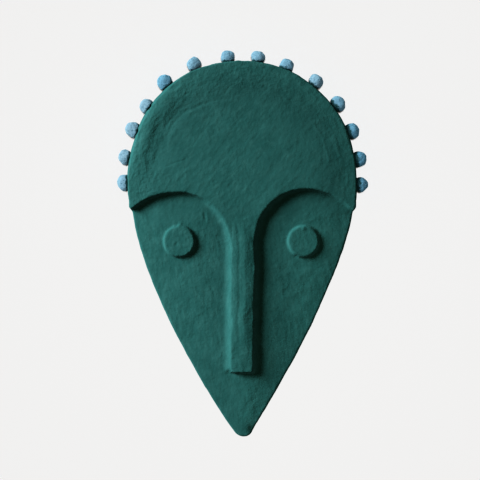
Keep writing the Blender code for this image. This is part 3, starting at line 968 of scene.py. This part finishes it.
class Paint:
    """A material whose nodes are added step by step."""

    def __init__(self, name, roughness):
        self.material = bpy.data.materials.new(name)
        self.material.use_nodes = True
        self.nodes = self.material.node_tree.nodes
        self.links = self.material.node_tree.links
        self.shader = self.nodes["Principled BSDF"]
        self.shader.inputs["Metallic"].default_value = 0
        self.shader.inputs["Roughness"].default_value = roughness

    def add(self, kind, inputs=None, **settings):
        """A node with its settings, and its inputs either linked or set to a value."""
        node = self.nodes.new(kind)
        for name, value in settings.items():
            setattr(node, name, value)
        for name, value in (inputs or {}).items():
            if isinstance(value, bpy.types.NodeSocket):
                self.links.new(value, node.inputs[name])
            else:
                node.inputs[name].default_value = value
        return node

    def attribute(self, name, output="Fac"):
        """What add_attribute has left at the vertices: a number by Fac, or a place by Vector."""
        return self.add("ShaderNodeAttribute", attribute_name=name).outputs[output]

    def noise(self, place, scale, detail=3.0, roughness=0.55):
        """Soft noise over a place, with so many waves to a metre."""
        inputs = {"Vector": place, "Scale": scale, "Detail": detail, "Roughness": roughness}
        return self.add("ShaderNodeTexNoise", inputs).outputs["Fac"]

    def ramp(self, value, low, high, from_value=0.0, to_value=1.0):
        """The value's stretch from low to high, spread from one number to another."""
        inputs = {"Value": value, "From Min": low, "From Max": high}
        inputs |= {"To Min": from_value, "To Max": to_value}
        return self.add("ShaderNodeMapRange", inputs).outputs["Result"]

    def mix(self, share, first, second, blend="MIX"):
        """Two colours mixed by a share."""
        inputs = {0: share, 6: first, 7: second}
        return self.add("ShaderNodeMix", inputs, data_type="RGBA", blend_type=blend).outputs[2]

    def blend(self, share, first, second):
        """Two numbers mixed by a share."""
        return self.add("ShaderNodeMix", {0: share, 2: first, 3: second}, data_type="FLOAT").outputs[0]

    def show(self, colour, next_colour, pattern, low, high, most):
        """The next colour over a colour: none where the pattern is low, the most where it is high."""
        return self.mix(self.ramp(pattern, low, high, 0, most), colour, next_colour)

    def bump(self, height, distance, strength=1.0, normal=None):
        """Fine relief by shading, on top of the mesh's own."""
        inputs = {"Height": height, "Distance": distance, "Strength": strength}
        if normal is not None:
            inputs["Normal"] = normal
        return self.add("ShaderNodeBump", inputs).outputs["Normal"]

    def finish(self, colour, roughness, normal):
        """Links the finished colour, roughness and relief to the shader."""
        self.links.new(colour, self.shader.inputs["Base Color"])
        self.links.new(roughness, self.shader.inputs["Roughness"])
        self.links.new(normal, self.shader.inputs["Normal"])
        return self.material


# Colours
GREEN = (0.0485, 0.1580, 0.1560, 1)
GREEN_DEEP = (0.0415, 0.1420, 0.1400, 1)
GREEN_DUSTY = (0.0620, 0.1800, 0.1780, 1)
BLUE = (0.100, 0.240, 0.325, 1)
BLUE_PALE = (0.185, 0.280, 0.335, 1)
BLUE_DEEP = (0.048, 0.120, 0.165, 1)
GLUE_GREEN_AND_PAINTED_SHADOW = (0.016, 0.060, 0.066, 1)
FLOOR_GREY = (0.8, 0.8, 0.8, 1)

# How bright the green is at two places along +Y: lighter towards the chin and darker towards the top
TONE_PLACES_ALONG_Y = (-0.13, 0.10)
TONE_ALONG_Y = (1.10, 0.92)

# The patterns of the green: how many waves to a metre, and their height where they are also relief
CLOUD_WAVES = 38
BLOTCH_WAVES = 105
BRUSHED = (260, 0.00034)
PULPY = (360, 0.00043)
GRIT = (800, 0.00004)
FEWER_ALONG_STROKES = (0.4, 1.0, 1.0)

# The patterns of the blue, and how far they shift the edge of the green
BLUE_PATCH_WAVES = 320
BLUE_GRAIN = (1000, 0.00020)
GREEN_EDGE_WOBBLE = 0.0032
GREEN_EDGE_BLUR = 0.0008

# How the patterns show the next colour: their low and their high level, and the most of it
CLOUDS_SHOW = (0.38, 0.62, 1.0)
BLOTCHES_SHOW = (0.52, 0.72, 0.45)
STROKES_SHOW = (0.50, 0.80, 0.7)
PULP_SHOWS = (0.60, 0.78, 0.5)
PATCHES_SHOW = (0.50, 0.70, 0.30)
SPECKS_SHOW = (0.56, 0.74, 0.20)
PITS_SHOW = (0.1, 0.8, 0.85)

# How rough the paint is between two levels of a pattern
SHEEN_LEVELS = (0.3, 0.7)
SHEEN = (0.92, 0.78)


def brush_strokes(paint, base, direction):
    """Noise drawn out along a direction."""
    along = paint.add("ShaderNodeMapping", {"Vector": base, "Rotation": (0, 0, -direction)})
    inputs = {"Vector": along.outputs["Vector"], "Scale": FEWER_ALONG_STROKES}
    return paint.noise(paint.add("ShaderNodeMapping", inputs).outputs["Vector"], BRUSHED[0], 2)


def green_paint():
    """Matt green, brushed on along the forehead, the cheeks and the rim, with dust on the grain."""
    paint = Paint("brushed_green_paint", 0.85)
    paint.shader.inputs["Specular IOR Level"].default_value = 0.15
    paint.shader.inputs["Diffuse Roughness"].default_value = 0.6
    place = paint.add("ShaderNodeTexCoord").outputs["Object"]
    coarse = paint.attribute("coarseness")

    on_cheeks = brush_strokes(paint, place, CHEEK_STROKES)
    on_forehead = brush_strokes(paint, place, FOREHEAD_STROKES)
    on_rim = brush_strokes(paint, paint.attribute("round_the_dome", "Vector"), 0)
    strokes = paint.blend(paint.attribute("on_forehead"), on_cheeks, on_forehead)
    strokes = paint.blend(paint.attribute("near_rim"), strokes, on_rim)
    pulp = paint.noise(place, PULPY[0], 2, 0.6)
    grit = paint.noise(place, GRIT[0], 1)
    clouds = paint.noise(place, CLOUD_WAVES, 3)
    blotches = paint.noise(place, BLOTCH_WAVES, 2)
    height = paint.add("ShaderNodeSeparateXYZ", {"Vector": place}).outputs["Y"]

    colour = paint.show(GREEN, GREEN_DEEP, clouds, *CLOUDS_SHOW)
    colour = paint.show(colour, GREEN_DUSTY, blotches, *BLOTCHES_SHOW)
    colour = paint.show(colour, GREEN_DUSTY, strokes, *STROKES_SHOW)
    colour = paint.show(colour, GREEN_DUSTY, pulp, *PULP_SHOWS)
    # Lighter towards the chin and darker towards the top of the dome
    colour = paint.mix(1.0, colour, paint.ramp(height, *TONE_PLACES_ALONG_Y, *TONE_ALONG_Y), "MULTIPLY")
    # Painted light and shade over the cheeks, the chin and the forehead
    colour = paint.mix(1.0, colour, paint.attribute("painted_shading"), "MULTIPLY")

    normal = None
    for pattern, (_, distance) in ((grit, GRIT), (pulp, PULPY), (strokes, BRUSHED)):
        normal = paint.bump(pattern, distance, coarse, normal)
    return paint.finish(colour, paint.ramp(strokes, *SHEEN_LEVELS, *SHEEN), normal)


def blue_paint():
    """Matt light blue over coarse pulp, darker in its pits, with dark green by the glue: smudges of paint,
    and on the first four balls painted shadow from the mask's rim.
    """
    paint = Paint("pulp_blue_paint", 0.85)
    paint.shader.inputs["Specular IOR Level"].default_value = 0.3
    paint.shader.inputs["Diffuse Roughness"].default_value = 0.8
    place = paint.attribute("grain_place", "Vector")
    patches = paint.noise(place, BLUE_PATCH_WAVES, 3)
    specks = paint.noise(place, BLUE_GRAIN[0], 2)

    colour = paint.mix(paint.attribute("paleness"), BLUE, BLUE_PALE)
    colour = paint.show(colour, BLUE_DEEP, patches, *PATCHES_SHOW)
    colour = paint.show(colour, BLUE_DEEP, specks, *SPECKS_SHOW)
    colour = paint.show(colour, BLUE_DEEP, paint.attribute("pit"), *PITS_SHOW)
    # Dark green by the glue: paint smudges, widened on the first four balls into painted shadow from the
    # mask's rim
    stray = paint.ramp(patches, 0.0, 1.0, -GREEN_EDGE_WOBBLE, GREEN_EDGE_WOBBLE)
    inputs = {0: paint.attribute("past_green"), 1: stray}
    past_edge = paint.add("ShaderNodeMath", inputs, operation="ADD").outputs[0]
    colour = paint.mix(paint.ramp(past_edge, -GREEN_EDGE_BLUR, GREEN_EDGE_BLUR, 1.0, 0.0), colour, GLUE_GREEN_AND_PAINTED_SHADOW)

    relief = paint.bump(paint.noise(place, BLUE_GRAIN[0], 3), BLUE_GRAIN[1])
    return paint.finish(colour, paint.ramp(specks, *SHEEN_LEVELS, *SHEEN), relief)


def floor_material():
    """Plain pale paper."""
    paint = Paint("pale_floor", 0.9)
    paint.shader.inputs["Base Color"].default_value = FLOOR_GREY
    paint.shader.inputs["Specular IOR Level"].default_value = 0
    return paint.material


# Camera
PHOTO_SIZE = 480
DOME_CENTRE_IN_PHOTO = (242.8, 176.5)
METRES_PER_PIXEL = 0.001
CAMERA_DISTANCE = 1.6
PICTURE_LEVEL = 0.032
SENSOR = 36.0

# Where the lights stand
KEY_BEARING = math.radians(155)
KEY_DISTANCE = 3.0
MASK_KEY_ELEVATION = math.radians(28.5)
BALL_KEY_ELEVATION = math.radians(36)
FILL_HEIGHT = 2.5
FLOOR_LIGHT_HEIGHT = 4.0

# Each light's size, power and colour
WHITE = (1.0, 1.0, 1.0)
MASK_KEY = (1.4, 133, WHITE)
BALL_KEY = (2.2, 140, WHITE)
MASK_FILL = (3.0, 8.5, (1.0, 0.80, 0.61))
BALL_FILL = (3.0, 32, WHITE)
FLOOR_LIGHT = (0.2, 96, (0.951, 0.975, 1.0))

# Surroundings: what lights the scene, and what the camera sees past the floor
AMBIENT = (0.095, 0.078, 0.060, 1)
PALE = (0.56, 0.56, 0.56, 1)
FLOOR_SIZE = 6.0


def area_light(name, place, size, power, colour, lit):
    """A soft square light that looks at the origin and shines on the given objects only."""
    data = bpy.data.lights.new(name, "AREA")
    data.size = size
    data.energy = power
    data.color = colour
    made = bpy.data.objects.new(name, data)
    bpy.context.scene.collection.objects.link(made)
    made.location = place
    made.rotation_euler = Vector(place).to_track_quat("Z", "Y").to_euler()
    receivers = bpy.data.collections.new(name)
    for each in lit:
        receivers.objects.link(each)
    made.light_linking.receiver_collection = receivers


def toward_key(elevation):
    """Where the key light stands when it is raised this far over the floor."""
    flat = Vector((math.cos(KEY_BEARING), math.sin(KEY_BEARING), 0)) * math.cos(elevation)
    return KEY_DISTANCE * (flat + Vector((0, 0, math.sin(elevation))))


def pale_floor():
    """The sheet that the mask lies on."""
    half = FLOOR_SIZE / 2
    corners = [(-half, -half, 0), (half, -half, 0), (half, half, 0), (-half, half, 0)]
    mesh = bpy.data.meshes.new("floor")
    mesh.from_pydata(corners, [], [(0, 1, 2, 3)])
    floor = new_object("floor", mesh, floor_material())
    return floor


def light(mask, balls, floor):
    """A low key light and a soft fill for the mask, the same for the balls, and one for the floor."""
    above = (0, 0, FILL_HEIGHT)
    area_light("mask_key", toward_key(MASK_KEY_ELEVATION), *MASK_KEY, [mask])
    area_light("mask_fill", above, *MASK_FILL, [mask])
    area_light("ball_key", toward_key(BALL_KEY_ELEVATION), *BALL_KEY, balls)
    area_light("ball_fill", above, *BALL_FILL, balls)
    area_light("floor_light", (0, 0, FLOOR_LIGHT_HEIGHT), *FLOOR_LIGHT, [floor])


def surroundings():
    """Dim light from all round, which the camera sees as a pale background."""
    world = bpy.data.worlds.new("surroundings")
    bpy.context.scene.world = world
    world.use_nodes = True
    nodes, links = world.node_tree.nodes, world.node_tree.links
    dim, pale = nodes["Background"], nodes.new("ShaderNodeBackground")
    dim.inputs["Color"].default_value = AMBIENT
    pale.inputs["Color"].default_value = PALE
    shown = nodes.new("ShaderNodeMixShader")
    links.new(nodes.new("ShaderNodeLightPath").outputs["Is Camera Ray"], shown.inputs[0])
    links.new(dim.outputs[0], shown.inputs[1])
    links.new(pale.outputs[0], shown.inputs[2])
    links.new(shown.outputs[0], nodes["World Output"].inputs["Surface"])


def camera(mask):
    """A camera that looks straight down on the face and has the dome where the photo has it."""
    data = bpy.data.cameras.new("camera")
    data.sensor_width = SENSOR
    data.lens = SENSOR * CAMERA_DISTANCE / (PHOTO_SIZE * METRES_PER_PIXEL)
    made = bpy.data.objects.new("camera", data)
    bpy.context.scene.collection.objects.link(made)
    right, down = (pixel - PHOTO_SIZE / 2 for pixel in DOME_CENTRE_IN_PHOTO)
    made.location = (
        mask.location.x - right * METRES_PER_PIXEL,
        mask.location.y + down * METRES_PER_PIXEL,
        PICTURE_LEVEL + CAMERA_DISTANCE,
    )
    bpy.context.scene.camera = made
    bpy.context.scene.view_settings.view_transform = "Standard"
    bpy.context.scene.view_settings.look = "Very High Contrast"


mask = painted_mask(green_paint())
blue = blue_paint()
balls = [pulp_ball(number, mask.location, blue) for number in range(1, len(BALLS) + 1)]
for piece in (mask, *balls):
    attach(piece, "root")
light(mask, balls, pale_floor())
surroundings()
camera(mask)
